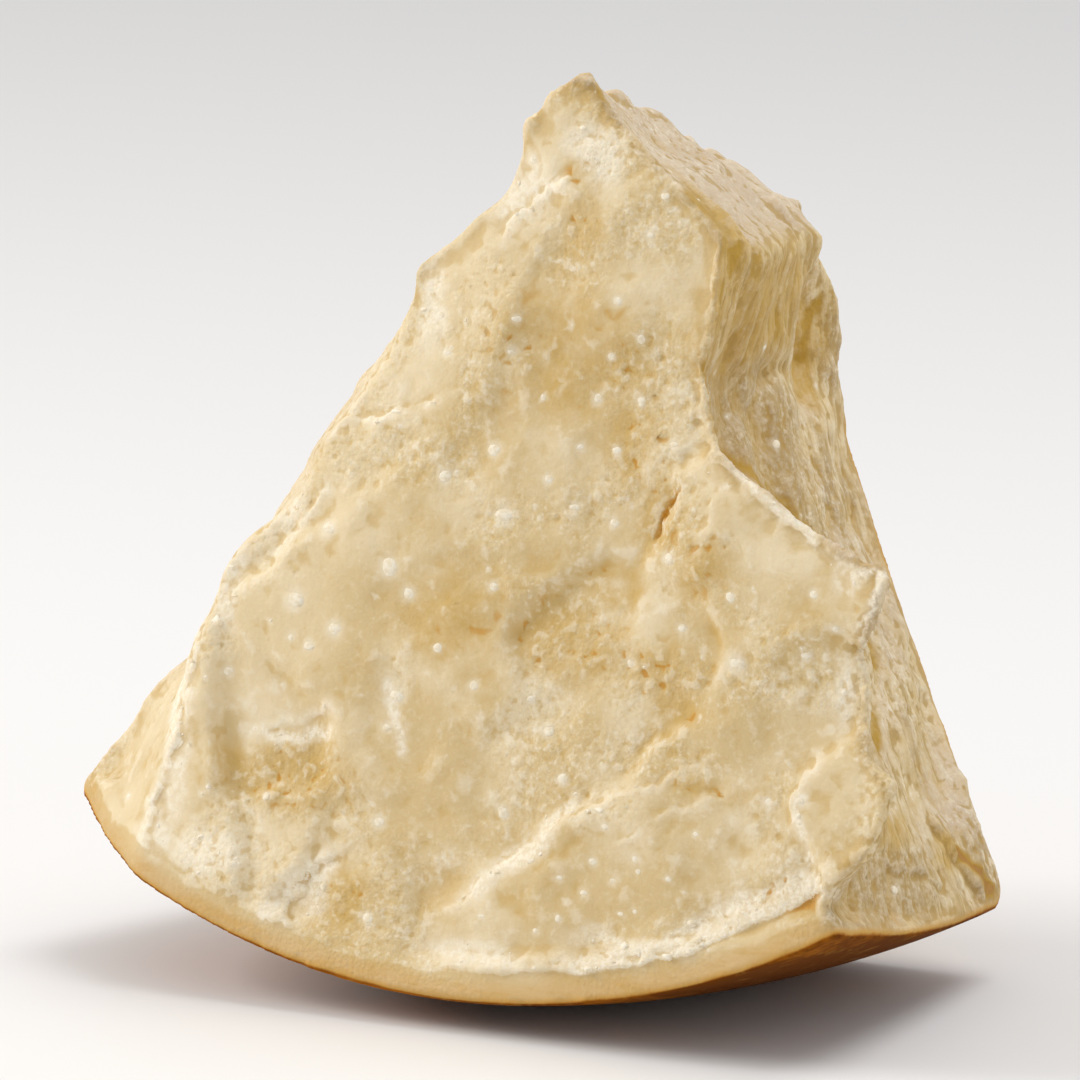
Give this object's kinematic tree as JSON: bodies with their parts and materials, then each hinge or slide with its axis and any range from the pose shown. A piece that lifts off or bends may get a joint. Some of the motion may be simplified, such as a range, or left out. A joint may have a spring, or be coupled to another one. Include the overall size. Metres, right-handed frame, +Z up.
{
  "type": "aged hard cheese wedge",
  "caption": "Large wedge of aged hard cheese, rough and craggy where it was broken, narrowing to a point above a smooth curved rind.",
  "frame": {"origin": "middle of the part's box, at the bottom, in the plane of the small flat spot it rests on", "axes": "+Z up; the wide rough break faces -Y and leans back 12 degrees; +X to the right as seen from that side"},
  "size_m": [0.2448, 0.155, 0.2361],
  "materials": {
    "cheese_paste": "rough broken cheese paste, with a smoother golden rind"
  },
  "bodies": {
    "root": {"cheese_wedge": "cheese_paste"}
  },
  "joints": []
}
